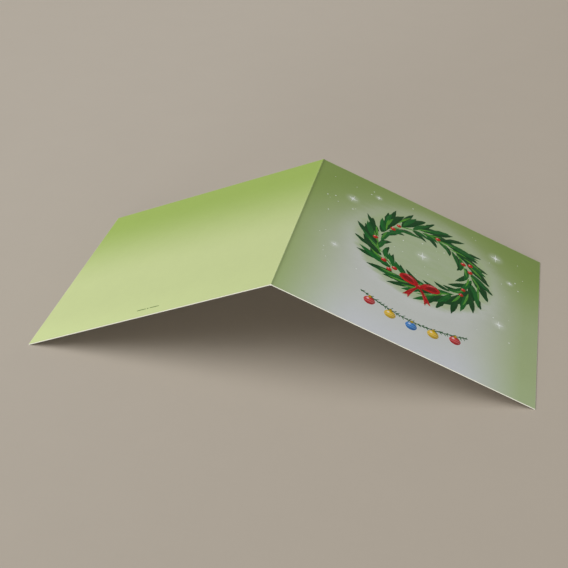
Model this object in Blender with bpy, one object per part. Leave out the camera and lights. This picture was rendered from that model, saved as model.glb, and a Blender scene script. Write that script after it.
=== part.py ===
"""Square greeting card: one sheet of board, printed outside, scored and folded once.

It stands as a low tent on its two fore-edges, with the fold on top. X runs across the
fold towards the front cover, Y along the fold towards the head of the print, and Z up.
The origin is on the resting plane, under the middle of the fold. Lengths are in metres.

The sheet is drawn flat, as its printer draws it: a run is a distance along the board
from the fold, positive on the front cover. The flat drawing is then wrapped round the
scored fold.
"""

import math

import bmesh
import bpy
import numpy as np
from mathutils import Vector
from mathutils.geometry import delaunay_2d_cdt

# The sheet
PANEL_WIDTH = 0.148
PANEL_HEIGHT = 0.148
BOARD_THICKNESS = 0.00045

# The fold: the scored strip beside it stands steeply, and eases to the panel's slope
PANEL_SLOPE = math.radians(22.5)
FOLD_SLOPE = math.radians(33)
SCORED_STRIP = 0.0005
FOLD_EASING = 0.0006
FOLD_INNER_RADIUS = 0.000225
CROWN_STEPS = 6
EASING_STEPS = 6

# The bead that the scoring rule raises inside the fold
BEAD_REACH = 0.00065
BEAD_HEIGHT = 0.00015
BEAD_STEPS = 8

# Flat points closer than this are one point
MERGE_DISTANCE = 0.0000002
SHARP_ANGLE = math.radians(30)

# Places on a cover are shares of its width from the fold and of its height from the
# foot. Sizes in the print are shares of the cover's shorter side.
BACK_BAND_FOOT_SHARES = (0.46, 0.58, 0.70, 0.84)
ARCH_WIDTH_SHARES = (0.96, 0.82, 0.66)
ARCH_SPRING_SHARES = (0.45, 0.40, 0.32)
ARCH_RISE_SHARES = (0.45, 0.40, 0.36)
ARCH_MIDDLE_SHARE = 0.50
ARCH_STEPS = 24

WREATH_PLACE_SHARES = (0.51, 0.60)
WREATH_GROUND_SHARE = 0.26
WREATH_GROUND_STEPS = 36
WREATH_RING_SHARE = 0.20
LEAVES_IN_ROW = 24
LEAF_HALF_WIDTH_SHARE = 0.016
LEAF_OUTLINE_SHARES = ((0.0, 0.0), (0.22, 0.75), (0.52, 1.0), (0.80, 0.62), (1.0, 0.0))
LEAF_ROW_SHARES = (
    ("fir", math.radians(38), 0.12),
    ("leaf", math.radians(-40), 0.10),
    ("lime", math.radians(8), 0.065),
)

BERRY_RADIUS_SHARE = 0.0125
BERRY_TURN_SHARES = (0.05, 0.09, 0.36, 0.40, 0.61, 0.66, 0.90)
BOW_LOOP_LENGTH_SHARE = 0.085
BOW_LOOP_HALF_WIDTH_SHARE = 0.022
BOW_KNOT_SHARE = 0.014
BOW_ANGLES = tuple(math.radians(a) for a in (22, 158, -66, -114))

STAR_PLACE_SHARES = (
    (0.17, 0.80, 0.022),
    (0.27, 0.90, 0.014),
    (0.80, 0.86, 0.024),
    (0.87, 0.72, 0.013),
    (0.16, 0.42, 0.016),
    (0.84, 0.40, 0.020),
    (0.50, 0.62, 0.024),
)
STAR_WAIST_SHARE = 0.22
STAR_TIPS = 4

GARLAND_ENDS_SHARES = (0.30, 0.72)
GARLAND_FOOT_SHARE = 0.215
GARLAND_SAG_SHARE = 0.05
GARLAND_LINE_SHARE = 0.006
GARLAND_STEPS = 16
BAUBLE_RADIUS_SHARE = 0.023
BAUBLE_SHARES = (("red", 0.1), ("gold", 0.3), ("blue", 0.5), ("gold", 0.7), ("red", 0.9))
ROUND_STEPS = 12

# Colours as seen, red, green and blue from 0 to 255, and how rough each finish is
BOARD_COLOUR = (238, 238, 232)
BOARD_ROUGHNESS = 0.8
PRINT_ROUGHNESS = 0.42
PRINT_COLOURS = {
    "spring": (201, 214, 152),
    "spring_1": (193, 208, 140),
    "spring_2": (181, 200, 122),
    "spring_3": (168, 191, 104),
    "spring_4": (157, 183, 90),
    "moss": (140, 166, 84),
    "mist_1": (162, 184, 118),
    "mist_2": (188, 202, 164),
    "mist_3": (214, 218, 215),
    "sage": (172, 190, 144),
    "fir": (8, 78, 32),
    "leaf": (22, 112, 42),
    "lime": (112, 176, 54),
    "red": (214, 26, 30),
    "gold": (244, 200, 18),
    "blue": (36, 134, 218),
    "snow": (246, 249, 250),
}

# What follows from the sizes
PRINT_UNIT = min(PANEL_WIDTH, PANEL_HEIGHT)
HALF_BOARD = BOARD_THICKNESS / 2
CROWN_RADIUS = FOLD_INNER_RADIUS + HALF_BOARD
CROWN_RUN = CROWN_RADIUS * FOLD_SLOPE
STRIP_END = CROWN_RUN + SCORED_STRIP
EASING_RADIUS = FOLD_EASING / (FOLD_SLOPE - PANEL_SLOPE)
FOOT_Y = -PANEL_HEIGHT / 2
HEAD_Y = PANEL_HEIGHT / 2


def clear_scene():
    """Remove every object that the scene starts with."""
    for found in list(bpy.data.objects):
        bpy.data.objects.remove(found)


def middle(run):
    """Place and downward slope of the board's middle at a run from the fold's crest."""
    slope = min(run, CROWN_RUN) / CROWN_RADIUS
    x = CROWN_RADIUS * math.sin(slope)
    z = CROWN_RADIUS * (math.cos(slope) - 1)
    strip = min(max(run - CROWN_RUN, 0), SCORED_STRIP)
    x += strip * math.cos(slope)
    z -= strip * math.sin(slope)
    easing = min(max(run - STRIP_END, 0), FOLD_EASING)
    eased = slope - easing / EASING_RADIUS
    x += EASING_RADIUS * (math.sin(slope) - math.sin(eased))
    z -= EASING_RADIUS * (math.cos(eased) - math.cos(slope))
    straight = max(run - STRIP_END - FOLD_EASING, 0)
    x += straight * math.cos(eased)
    z -= straight * math.sin(eased)
    return x, z, eased


def on_board(run, lift):
    """Section point at a signed run, lifted off the board's middle towards the outside."""
    x, z, slope = middle(abs(run))
    x += lift * math.sin(slope)
    z += lift * math.cos(slope)
    return math.copysign(x, run), z


def panel_runs():
    """Runs on one panel where the section turns, from the crest to the fore-edge."""
    crown = [CROWN_RUN * step / CROWN_STEPS for step in range(1, CROWN_STEPS + 1)]
    easing = [STRIP_END + FOLD_EASING * step / EASING_STEPS for step in range(EASING_STEPS + 1)]
    return crown + easing + [PANEL_WIDTH]


def outside_runs():
    """Every run where the outside of the section turns, from back to front fore-edge."""
    one_side = panel_runs()
    return [-run for run in reversed(one_side)] + [0] + one_side


def bead():
    """Arc of the bead, from its foot on the front panel to its foot on the back panel."""
    half_chord, foot_z = on_board(BEAD_REACH, -HALF_BOARD)
    radius = (half_chord**2 + BEAD_HEIGHT**2) / (2 * BEAD_HEIGHT)
    sweep = math.asin(half_chord / radius)
    centre_z = foot_z + radius - BEAD_HEIGHT
    turns = [sweep * (1 - 2 * step / BEAD_STEPS) for step in range(BEAD_STEPS + 1)]
    return [(radius * math.sin(turn), centre_z - radius * math.cos(turn)) for turn in turns]


def inside_section():
    """Inside of the section, from the front fore-edge over the bead to the back one."""
    runs = [run for run in reversed(panel_runs()) if run > BEAD_REACH]
    front = [on_board(run, -HALF_BOARD) for run in runs]
    back = [(-x, z) for x, z in reversed(front)]
    return front + bead() + back


def front_place(width_share, height_share):
    """Flat point on the front cover."""
    return Vector((PANEL_WIDTH * width_share, FOOT_Y + PANEL_HEIGHT * height_share))


def rectangle(first_run, last_run, foot, head):
    """Flat outline of a band."""
    return [Vector(c) for c in ((first_run, foot), (last_run, foot), (last_run, head), (first_run, head))]


def disc(centre, radius, steps=ROUND_STEPS):
    """Flat outline of a round spot."""
    turns = [math.tau * step / steps for step in range(steps)]
    return [centre + radius * Vector((math.cos(turn), math.sin(turn))) for turn in turns]


def petal(root, angle, length, half_width):
    """Flat outline of a pointed leaf that grows from its root along an angle."""
    along = Vector((math.cos(angle), math.sin(angle)))
    aside = Vector((-along.y, along.x))
    right = [root + along * length * a - aside * half_width * w for a, w in LEAF_OUTLINE_SHARES]
    left = [root + along * length * a + aside * half_width * w for a, w in LEAF_OUTLINE_SHARES[1:-1]]
    return right + left[::-1]


def star(centre, radius):
    """Flat outline of a slender star."""
    corners = []
    for step in range(2 * STAR_TIPS):
        reach = radius if step % 2 == 0 else radius * STAR_WAIST_SHARE
        turn = math.pi * (0.5 + step / STAR_TIPS)
        corners.append(centre + reach * Vector((math.cos(turn), math.sin(turn))))
    return corners


def arch(width, spring, rise):
    """Flat outline of a pale arch that stands on the front cover's foot."""
    centre = front_place(ARCH_MIDDLE_SHARE, spring)
    half_width = PANEL_WIDTH * width / 2
    height = PANEL_HEIGHT * rise
    corners = [Vector((centre.x - half_width, FOOT_Y)), Vector((centre.x + half_width, FOOT_Y))]
    for step in range(ARCH_STEPS + 1):
        turn = math.pi * step / ARCH_STEPS
        corners.append(centre + Vector((half_width * math.cos(turn), height * math.sin(turn))))
    return corners


def garland_point(share):
    """Flat point on the hanging line's middle, at a share of its span."""
    left, right = (front_place(end, GARLAND_FOOT_SHARE) for end in GARLAND_ENDS_SHARES)
    sag = PRINT_UNIT * GARLAND_SAG_SHARE * math.sin(math.pi * share)
    return left.lerp(right, share) - Vector((0, sag))


def back_fields():
    """The back cover's ground, deeper towards its head."""
    fields = [("spring", rectangle(-PANEL_WIDTH, 0, FOOT_Y, HEAD_Y))]
    for band, foot in enumerate(BACK_BAND_FOOT_SHARES, start=1):
        foot_y = FOOT_Y + PANEL_HEIGHT * foot
        fields.append((f"spring_{band}", rectangle(-PANEL_WIDTH, 0, foot_y, HEAD_Y)))
    return fields


def front_fields():
    """The front cover's ground: green round the sides and head, pale in its arch."""
    fields = [("moss", rectangle(0, PANEL_WIDTH, FOOT_Y, HEAD_Y))]
    arches = zip(ARCH_WIDTH_SHARES, ARCH_SPRING_SHARES, ARCH_RISE_SHARES)
    for depth, (width, spring, rise) in enumerate(arches, start=1):
        fields.append((f"mist_{depth}", arch(width, spring, rise)))
    return fields


def wreath_fields():
    """A round wreath of leaves in three rows, with berries and a bow at its foot."""
    centre = front_place(*WREATH_PLACE_SHARES)
    ring = PRINT_UNIT * WREATH_RING_SHARE
    half_width = PRINT_UNIT * LEAF_HALF_WIDTH_SHARE
    fields = [("sage", disc(centre, PRINT_UNIT * WREATH_GROUND_SHARE, WREATH_GROUND_STEPS))]
    for row, (colour, spread, length) in enumerate(LEAF_ROW_SHARES):
        for leaf in range(LEAVES_IN_ROW):
            turn = math.tau * (leaf + row / len(LEAF_ROW_SHARES)) / LEAVES_IN_ROW
            root = centre + ring * Vector((math.cos(turn), math.sin(turn)))
            heading = turn - math.pi / 2 + spread
            fields.append((colour, petal(root, heading, PRINT_UNIT * length, half_width)))
    for share in BERRY_TURN_SHARES:
        turn = math.tau * share
        place = centre + ring * Vector((math.cos(turn), math.sin(turn)))
        fields.append(("red", disc(place, PRINT_UNIT * BERRY_RADIUS_SHARE)))
    return fields + bow_fields(centre - Vector((0, ring)))


def bow_fields(knot):
    """Two loops, two tails and the knot that ties them."""
    length = PRINT_UNIT * BOW_LOOP_LENGTH_SHARE
    half_width = PRINT_UNIT * BOW_LOOP_HALF_WIDTH_SHARE
    fields = [("red", petal(knot, angle, length, half_width)) for angle in BOW_ANGLES]
    return fields + [("red", disc(knot, PRINT_UNIT * BOW_KNOT_SHARE))]


def star_fields():
    """White stars scattered round the wreath."""
    return [("snow", star(front_place(x, y), PRINT_UNIT * size)) for x, y, size in STAR_PLACE_SHARES]


def garland_fields():
    """A sagging line under the wreath, with coloured baubles along it."""
    shares = [step / GARLAND_STEPS for step in range(GARLAND_STEPS + 1)]
    lift = Vector((0, PRINT_UNIT * GARLAND_LINE_SHARE / 2))
    lower = [garland_point(share) - lift for share in shares]
    upper = [garland_point(share) + lift for share in reversed(shares)]
    fields = [("fir", lower + upper)]
    radius = PRINT_UNIT * BAUBLE_RADIUS_SHARE
    for colour, share in BAUBLE_SHARES:
        fields.append((colour, disc(garland_point(share) - Vector((0, radius)), radius)))
    return fields


def flat_sheet():
    """The printed side laid flat: its points, and each cell's corners and colour."""
    whole = rectangle(-PANEL_WIDTH, PANEL_WIDTH, FOOT_Y, HEAD_Y)
    fields = [("snow", whole)] + back_fields() + front_fields()
    fields += wreath_fields() + star_fields() + garland_fields()
    corners, folds, outlines = [], [], []
    for _, outline in fields:
        outlines.append(list(range(len(corners), len(corners) + len(outline))))
        corners += outline
    for run in outside_runs():
        folds.append((len(corners), len(corners) + 1))
        corners += [Vector((run, FOOT_Y)), Vector((run, HEAD_Y))]
    points, _, cells, _, _, within = delaunay_2d_cdt(corners, folds, outlines, 1, MERGE_DISTANCE)
    printed = [(cell, fields[max(found)][0]) for cell, found in zip(cells, within) if 0 in found]
    return points, printed


def print_outside(bm, points, printed, colours):
    """Wrap the flat cells over the fold, and give back each flat point's vertex."""
    runs = outside_runs()
    section = [on_board(run, HALF_BOARD) for run in runs]
    across = np.interp([p.x for p in points], runs, [x for x, _ in section])
    heights = np.interp([p.x for p in points], runs, [z for _, z in section])
    skin = [bm.verts.new((x, p.y, z)) for x, p, z in zip(across, points, heights)]
    for cell, colour in printed:
        face = bm.faces.new([skin[corner] for corner in cell])
        face.material_index = 1 + colours.index(colour)
    return skin


def edge_points(points, skin, axis, value):
    """Vertices along one straight edge of the flat sheet, in order."""
    found = [i for i, p in enumerate(points) if abs(p[axis] - value) < MERGE_DISTANCE]
    return [skin[i] for i in sorted(found, key=lambda i: points[i][1 - axis])]


def close_board(bm, points, skin):
    """Add the white inside and the four cut edges."""
    section = inside_section()
    foot = [bm.verts.new((x, FOOT_Y, z)) for x, z in section]
    head = [bm.verts.new((x, HEAD_Y, z)) for x, z in section]
    for first in range(len(section) - 1):
        last = first + 1
        bm.faces.new((foot[first], foot[last], head[last], head[first]))
    bm.faces.new(edge_points(points, skin, 1, FOOT_Y)[::-1] + foot[::-1])
    bm.faces.new(edge_points(points, skin, 1, HEAD_Y) + head)
    bm.faces.new(edge_points(points, skin, 0, PANEL_WIDTH)[::-1] + [foot[0], head[0]])
    bm.faces.new(edge_points(points, skin, 0, -PANEL_WIDTH) + [head[-1], foot[-1]])


def linear(level):
    """A colour level from 0 to 255, as seen, in linear light."""
    share = level / 255
    return share / 12.92 if share <= 0.04045 else ((share + 0.055) / 1.055) ** 2.4


def finish(name, colour, roughness):
    """A plain material of one colour."""
    material = bpy.data.materials.new(name)
    material.use_nodes = True
    shader = material.node_tree.nodes["Principled BSDF"]
    shader.inputs["Base Color"].default_value = [linear(level) for level in colour] + [1]
    shader.inputs["Roughness"].default_value = roughness
    shader.inputs["Metallic"].default_value = 0
    material.diffuse_color = shader.inputs["Base Color"].default_value
    return material


def build_card():
    """The whole card, as one closed and folded sheet."""
    colours = list(PRINT_COLOURS)
    points, printed = flat_sheet()
    bm = bmesh.new()
    skin = print_outside(bm, points, printed, colours)
    close_board(bm, points, skin)
    loose = [vert for vert in bm.verts if not vert.link_faces]
    bmesh.ops.delete(bm, geom=loose, context="VERTS")
    lowest = min(vert.co.z for vert in bm.verts)
    bmesh.ops.translate(bm, verts=bm.verts, vec=(0, 0, -lowest))
    mesh = bpy.data.meshes.new("greeting_card")
    bm.to_mesh(mesh)
    bm.free()
    mesh.materials.append(finish("white_board", BOARD_COLOUR, BOARD_ROUGHNESS))
    for colour in colours:
        mesh.materials.append(finish(f"print_{colour}", PRINT_COLOURS[colour], PRINT_ROUGHNESS))
    mesh.shade_smooth()
    mesh.set_sharp_from_angle(angle=SHARP_ANGLE)
    card = bpy.data.objects.new("greeting_card", mesh)
    bpy.context.scene.collection.objects.link(card)
    return card


def main():
    """Clear the scene and build the card."""
    clear_scene()
    build_card()


main()
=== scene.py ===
"""Dresses a square greeting card that stands as a low tent, and sets its studio.

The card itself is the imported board, which keeps its shape. Its print is a material in
soft greens. The wreath, stars and garland on the front cover are thin layers of ink,
modelled flat as on the printer's sheet and then laid on the cover. Lengths are in
metres. A place on a cover is a share of its width from the fold and a share of its
height from the foot, and a size in the drawing is a share of the cover's shorter side.
"""

import math
import random
from collections import namedtuple

import bmesh
import bpy
from mathutils import Matrix, Vector


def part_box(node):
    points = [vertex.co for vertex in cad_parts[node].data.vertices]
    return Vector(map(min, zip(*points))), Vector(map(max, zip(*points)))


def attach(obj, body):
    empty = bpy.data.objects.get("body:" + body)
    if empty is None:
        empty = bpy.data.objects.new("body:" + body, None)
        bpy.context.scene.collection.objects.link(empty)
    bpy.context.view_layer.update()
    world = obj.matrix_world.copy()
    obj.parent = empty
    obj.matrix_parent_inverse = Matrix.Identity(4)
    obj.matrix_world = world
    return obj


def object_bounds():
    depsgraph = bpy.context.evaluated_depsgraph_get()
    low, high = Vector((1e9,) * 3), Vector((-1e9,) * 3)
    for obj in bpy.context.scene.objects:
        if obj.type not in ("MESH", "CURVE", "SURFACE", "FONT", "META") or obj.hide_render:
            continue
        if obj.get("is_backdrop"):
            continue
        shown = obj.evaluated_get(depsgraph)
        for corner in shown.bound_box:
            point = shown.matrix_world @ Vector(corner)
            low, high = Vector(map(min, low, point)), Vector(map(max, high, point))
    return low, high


bl_info = {
    "name": "Printed greeting card",
    "version": (1, 0, 0),
    "blender": (4, 5, 0),
    "location": "3D View > Sidebar > Card",
    "description": "Prints and lights a folded greeting card",
    "category": "Object",
}

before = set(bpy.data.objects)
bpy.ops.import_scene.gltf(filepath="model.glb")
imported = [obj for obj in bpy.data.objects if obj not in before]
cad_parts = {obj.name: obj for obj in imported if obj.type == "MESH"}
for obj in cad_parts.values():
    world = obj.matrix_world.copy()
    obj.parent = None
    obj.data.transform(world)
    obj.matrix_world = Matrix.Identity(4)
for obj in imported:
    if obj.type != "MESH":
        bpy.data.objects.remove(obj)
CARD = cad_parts["greeting_card"]
CARD_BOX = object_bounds()
CARD_LOW, CARD_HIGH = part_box("greeting_card")
BODY = "root"

# How far the ink is sunk into its cover, and how high each kind of it stands off. The
# wreath's rows lie in layers a row step apart, and neighbours differ by a stroke step.
INK_SINK = 0.00002
ROW_LIFT = 0.00002
ROW_STEP = 0.000016
STROKE_STEP = 0.000004
FINE_LIFT = 0.00003
SHORT_STAR_LIFT = 0.000036
NEEDLE_LIFT = 0.00004
BERRY_LIFT = 0.00012
RIBBON_LIFT = 0.00014
SHINE_LIFT = 0.00018

# The map along which a stroke's paint runs, and the attribute with the stroke's own tint
STROKE_MAP = "stroke"
TINT = "tint"


def seen(red, green, blue):
    """A colour as seen, from 0 to 255, in linear light."""
    shares = (red / 255, green / 255, blue / 255)
    return tuple(s / 12.92 if s <= 0.04045 else ((s + 0.055) / 1.055) ** 2.4 for s in shares)


def length_setting(name, description, default):
    """A length that a user can change."""
    return bpy.props.FloatProperty(
        name=name, description=description, default=default, min=0, precision=5, unit="LENGTH"
    )


def share_setting(name, description, default):
    """A share of the cover's side that a user can change."""
    return bpy.props.FloatProperty(
        name=name, description=description, default=default, min=0, max=1, precision=3
    )


def angle_setting(name, description, degrees):
    """An angle that a user can change."""
    return bpy.props.FloatProperty(
        name=name, description=description, default=math.radians(degrees), subtype="ANGLE"
    )


def level_setting(name, description, default):
    """A level of light that a user can change."""
    return bpy.props.FloatProperty(name=name, description=description, default=default, min=0)


def colour_setting(name, description, default):
    """A colour that a user can change."""
    return bpy.props.FloatVectorProperty(
        name=name, description=description, default=seen(*default), subtype="COLOR", min=0, max=1
    )


class CardSizes(bpy.types.PropertyGroup):
    """Sizes of the sheet and of the drawing on it."""

    panel_width: length_setting("Panel width", "From the fold to the fore-edge", 0.148)
    panel_height: length_setting("Panel height", "From the foot to the head", CARD_HIGH.y - CARD_LOW.y)
    board_thickness: length_setting("Board thickness", "Thickness of the card board", 0.00045)
    panel_slope: angle_setting("Panel slope", "Slope of each panel off the floor", 22.5)
    wreath_across: share_setting("Wreath across", "Middle of the wreath, from the fold", 0.51)
    wreath_up: share_setting("Wreath up", "Middle of the wreath, from the foot", 0.60)
    wreath_ring: share_setting("Wreath ring", "Radius of the wreath's ring", 0.20)
    wash_radius: share_setting("Wash radius", "Radius of the soft wash behind the wreath", 0.29)
    garland_left: share_setting("Garland left", "Left end of the garland, from the fold", 0.30)
    garland_right: share_setting("Garland right", "Right end of the garland, from the fold", 0.72)
    garland_up: share_setting("Garland up", "Ends of the garland, from the foot", 0.215)
    garland_sag: share_setting("Garland sag", "How far the garland hangs down", 0.05)
    bauble_radius: share_setting("Bauble radius", "Radius of a bauble", 0.023)


class PrintColours(bpy.types.PropertyGroup):
    """Colours of the board and of the inks."""

    board: colour_setting("Board", "Bare board on the inside", (240, 240, 234))
    cut: colour_setting("Cut", "Cut edges, where the fibres show", (228, 228, 215))
    back_low: colour_setting("Back, foot", "Back cover by its foot", (201, 214, 152))
    back_head: colour_setting("Back, head", "Back cover by its head", (156, 183, 88))
    front_pale: colour_setting("Front, pale", "Middle of the front cover", (214, 218, 213))
    front_foot: colour_setting("Front, foot", "Cooler foot of the front cover", (215, 219, 223))
    front_green: colour_setting("Front, green", "Sides and head of the front cover", (150, 178, 92))
    wash: colour_setting("Wash", "Soft wash behind the wreath", (170, 189, 142))
    fir: colour_setting("Fir", "Darkest strokes of the wreath", (8, 78, 32))
    leaf: colour_setting("Leaf", "Middle strokes of the wreath", (22, 112, 42))
    lime: colour_setting("Lime", "Lightest strokes of the wreath", (112, 176, 54))
    red: colour_setting("Red", "Berries, ribbon and red baubles", (214, 26, 30))
    gold: colour_setting("Gold", "Gold baubles and caps", (244, 200, 18))
    blue: colour_setting("Blue", "Blue bauble", (36, 134, 218))
    snow: colour_setting("Snow", "Stars and specks", (247, 250, 250))


class StudioSettings(bpy.types.PropertyGroup):
    """The floor, the lamps and the camera."""

    # The floor's two colours; the lighter one towards the left is painted light
    floor: colour_setting("Floor", "Plain pale floor, towards the right", (182, 172, 158))
    floor_painted_light: colour_setting("Floor, left", "Plain pale floor, towards the left", (191, 182, 169))
    backdrop: colour_setting("Backdrop", "Plain pale air behind the floor", (172, 163, 150))
    floor_side: length_setting("Floor side", "Side of the square floor", 40.0)
    fade_start: length_setting("Fade start", "Where the floor starts to fade into the backdrop", 1.2)
    fade_end: length_setting("Fade end", "Where only the backdrop is left", 3.6)
    camera_place: bpy.props.FloatVectorProperty(
        name="Camera place",
        description="Where the camera stands",
        default=(0.1043, -0.5305, 0.3494),
        subtype="TRANSLATION",
    )
    camera_turn: angle_setting("Camera turn", "How far the camera has gone round the card", 12.056)
    camera_drop: angle_setting("Camera drop", "How far the camera looks down", 31.964)
    camera_lens: bpy.props.FloatProperty(
        name="Camera lens", description="Focal length", default=69.91, unit="CAMERA"
    )
    lamp_level: level_setting("Lamp level", "Light of the large lamp, 1 for a white that faces it", 0.74)
    front_level: level_setting("Front level", "Light of the low front lamp, on what faces it", 0.52)
    sky_level: level_setting("Sky level", "Light from all round", 0.17)


class Bench:
    """Lays out the nodes of one graph and joins their sockets."""

    SPACING = 190

    def __init__(self, graph):
        self.graph = graph
        self.column = 0

    def add(self, kind, sockets=None, **settings):
        """Add a node, with its settings and what feeds its sockets."""
        node = self.graph.nodes.new(kind)
        node.location = (self.column * self.SPACING, 0)
        self.column += 1
        for name, value in settings.items():
            setattr(node, name, value)
        for name, value in (sockets or {}).items():
            self.feed(node.inputs[name], value)
        return node

    def feed(self, socket, value):
        """Link a socket's source to it, or set its value."""
        if isinstance(value, bpy.types.NodeSocket):
            self.graph.links.new(value, socket)
        elif socket.type == "RGBA" and len(value) == 3:
            socket.default_value = (*value, 1)
        else:
            socket.default_value = value

    def work(self, operation, *terms, clamp=False):
        """One step of arithmetic."""
        sockets = dict(enumerate(terms))
        return self.add("ShaderNodeMath", sockets, operation=operation, use_clamp=clamp).outputs[0]

    def plus(self, first, second):
        """The sum of two numbers."""
        return self.work("ADD", first, second)

    def less(self, first, second):
        """The first number less the second."""
        return self.work("SUBTRACT", first, second)

    def times(self, first, second):
        """Two numbers multiplied."""
        return self.work("MULTIPLY", first, second)

    def over(self, first, second):
        """The first number divided by the second."""
        return self.work("DIVIDE", first, second)

    def gap(self, first, second):
        """How far apart two places lie."""
        sockets = {0: first, 1: second}
        return self.add("ShaderNodeVectorMath", sockets, operation="DISTANCE").outputs["Value"]

    def blend(self, share, first, second, way="MIX"):
        """The first colour with a share of the second laid on it."""
        sockets = {0: share, 6: first, 7: second}
        return self.add("ShaderNodeMix", sockets, data_type="RGBA", blend_type=way).outputs[2]

    def level(self, share, first, second):
        """The first number with a share of the second."""
        sockets = {0: share, 2: first, 3: second}
        return self.add("ShaderNodeMix", sockets, data_type="FLOAT").outputs[0]

    def ease(self, value, low, high, to_low=0.0, to_high=1.0, way="SMOOTHSTEP"):
        """A value carried softly from one span to another, and held at its ends."""
        ends = {"Value": value, "From Min": low, "From Max": high, "To Min": to_low, "To Max": to_high}
        return self.add("ShaderNodeMapRange", ends, interpolation_type=way, clamp=True).outputs[0]

    def carry(self, value, low, high, to_low=0.0, to_high=1.0):
        """A value carried evenly from one span to another, and held at its ends."""
        return self.ease(value, low, high, to_low, to_high, "LINEAR")

    def noise(self, vector, scale, detail=3.0, roughness=0.55):
        """Soft random cloud from 0 to 1."""
        sockets = {"Vector": vector, "Scale": scale, "Detail": detail, "Roughness": roughness}
        return self.add("ShaderNodeTexNoise", sockets).outputs[0]

    def stretch(self, vector, scale):
        """A place scaled along each axis."""
        sockets = {"Vector": vector, "Scale": scale}
        return self.add("ShaderNodeMapping", sockets, vector_type="POINT").outputs[0]

    def use(self, group, **sockets):
        """Place a shared effect, with its own values."""
        node = self.add("ShaderNodeGroup", node_tree=group)
        for name, value in sockets.items():
            self.feed(node.inputs[name.capitalize()], value)
        return node.outputs


ORIGIN = (0.0, 0.0, 0.0)


def new_effect(name, inputs, outputs):
    """Start a shared effect: its bench, and the sockets that feed it."""
    graph = bpy.data.node_groups.new(name, "ShaderNodeTree")
    kinds = {float: "NodeSocketFloat", tuple: "NodeSocketVector"}
    for label, value in inputs.items():
        socket = graph.interface.new_socket(label, in_out="INPUT", socket_type=kinds[type(value)])
        socket.default_value = value
    for label in outputs:
        graph.interface.new_socket(label, in_out="OUTPUT", socket_type="NodeSocketFloat")
    bench = Bench(graph)
    return bench, bench.add("NodeGroupInput").outputs


def close_effect(bench, **results):
    """Send the results out of a shared effect."""
    end = bench.add("NodeGroupOutput")
    for name, value in results.items():
        bench.feed(end.inputs[name.capitalize()], value)
    return bench.graph


# The spans within which most values of a soft cloud and of a rougher one lie
SOFT_SPAN = (0.35, 0.65)
ROUGH_SPAN = (0.3, 0.7)
# The board's grain: the scales of its long fibres both ways, its clouds and its tooth
FIBRES_ACROSS = (260.0, 1500.0, 900.0)
FIBRES_UPWARD = (1500.0, 300.0, 900.0)
CLOUD_SCALE = 90.0
TOOTH_SCALE = 3200.0


def paper_grain():
    """Fibres and tooth of the board: a shade and a height, both from 0 to 1."""
    bench, given = new_effect("paper grain", {"Place": ORIGIN, "Scale": 1.0}, ("Shade", "Height"))
    sockets = {0: given["Place"], "Scale": given["Scale"]}
    place = bench.add("ShaderNodeVectorMath", sockets, operation="SCALE").outputs[0]
    across = bench.noise(bench.stretch(place, FIBRES_ACROSS), 1.0, 4.0)
    upward = bench.noise(bench.stretch(place, FIBRES_UPWARD), 1.0, 4.0)
    fibres = bench.level(0.5, across, upward)
    cloud = bench.noise(place, CLOUD_SCALE, 2.0)
    tooth = bench.noise(place, TOOTH_SCALE, 3.0, 0.6)
    shade = bench.level(0.4, fibres, cloud)
    return close_effect(bench, shade=shade, height=bench.level(0.5, fibres, tooth))


# How finely a rubbed edge is broken, and how far it reaches, in shares of its usual reach
BROKEN_SCALE = 900.0
BROKEN_REACH = (0.25, 1.4)


def rubbed_edge():
    """Where a cut edge is rubbed, from 0 to 1, by distance from it."""
    inputs = {"Place": ORIGIN, "Distance": 0.0, "Reach": 0.0003}
    bench, given = new_effect("rubbed edge", inputs, ("Mask",))
    broken = bench.noise(given["Place"], BROKEN_SCALE, 4.0, 0.7)
    reach = bench.times(given["Reach"], bench.carry(broken, *ROUGH_SPAN, *BROKEN_REACH))
    return close_effect(bench, mask=bench.ease(bench.over(given["Distance"], reach), 1.0, 0.2))


def soft_spot():
    """A round glow, from 1 in its middle to 0 at its radius."""
    inputs = {"Place": ORIGIN, "Middle": ORIGIN, "Radius": 0.1}
    bench, given = new_effect("soft spot", inputs, ("Mask",))
    share = bench.over(bench.gap(given["Place"], given["Middle"]), given["Radius"])
    return close_effect(bench, mask=bench.ease(share, 1.0, 0.0))


# A brush's hairs and dabs, as scales along and across a stroke, the share of the dabs in
# its shade, and how far a stroke's tint moves it over the pattern
HAIRS = (1.6, 34.0, 1.0)
DABS = (3.0, 4.0, 1.0)
DAB_SHARE = 0.35
MARK_SPAN = (0.34, 0.66)
TINT_SHIFT = (13.0, 7.0)


def brush_marks():
    """Marks of a brush that ran along a stroke: a shade and a height, from 0 to 1."""
    inputs = {"Run": ORIGIN, "Tint": 0.0, "Coarseness": 1.0}
    bench, given = new_effect("brush marks", inputs, ("Shade", "Height"))
    shift = {axis: bench.times(given["Tint"], far) for axis, far in zip("XY", TINT_SHIFT)}
    shift = bench.add("ShaderNodeCombineXYZ", shift).outputs[0]
    run = bench.add("ShaderNodeVectorMath", {0: given["Run"], 1: shift}, operation="ADD").outputs[0]
    hairs = bench.noise(bench.stretch(run, HAIRS), given["Coarseness"], 3.0, 0.6)
    dabs = bench.noise(bench.stretch(run, DABS), given["Coarseness"], 3.0, 0.6)
    shade = bench.ease(bench.level(DAB_SHARE, hairs, dabs), *MARK_SPAN)
    return close_effect(bench, shade=shade, height=hairs)


EFFECTS = {}


def effect(build):
    """A shared effect, built once."""
    if build not in EFFECTS:
        EFFECTS[build] = build()
    return EFFECTS[build]


def new_material(name, specular):
    """A material with its shader, and the bench on which its nodes are laid."""
    material = bpy.data.materials.new(name)
    material.use_nodes = True
    shader = material.node_tree.nodes["Principled BSDF"]
    shader.inputs["Specular IOR Level"].default_value = specular
    return material, Bench(material.node_tree), shader


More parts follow.
